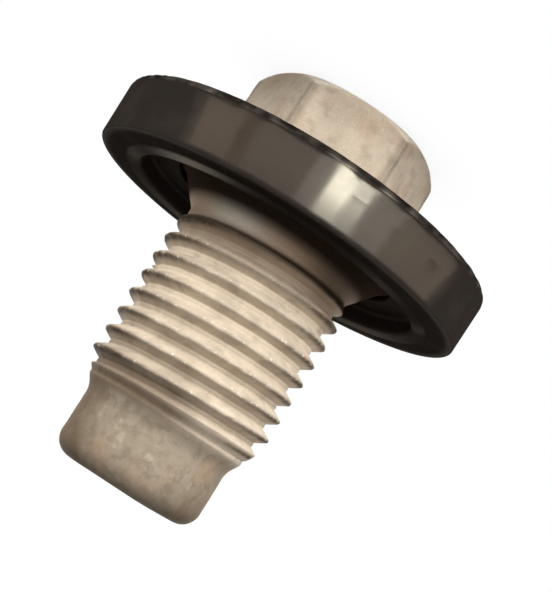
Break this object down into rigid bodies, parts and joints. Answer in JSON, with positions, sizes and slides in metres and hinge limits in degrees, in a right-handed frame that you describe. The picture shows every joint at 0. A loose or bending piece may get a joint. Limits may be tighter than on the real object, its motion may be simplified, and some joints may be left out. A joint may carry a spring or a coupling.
{
  "type": "oil drain plug",
  "caption": "Hex-head threaded oil drain plug with a pilot point and a captive rubber seal ring around its flange.",
  "frame": {"origin": "centre of the hexagon's end face, on which the plug stands", "axes": "+Z along the thread axis, from the hexagon towards the pilot point; two flats of the hexagon face -Y and +Y"},
  "size_m": [0.029, 0.029, 0.0303],
  "materials": {
    "plated_steel": "matt grey-beige plating, mottled and slightly worn on the thread crests",
    "seal_rubber": "glossy black moulded rubber, lightly soiled"
  },
  "bodies": {
    "root": {"plug_body": "plated_steel", "seal_ring": "seal_rubber"}
  },
  "joints": []
}
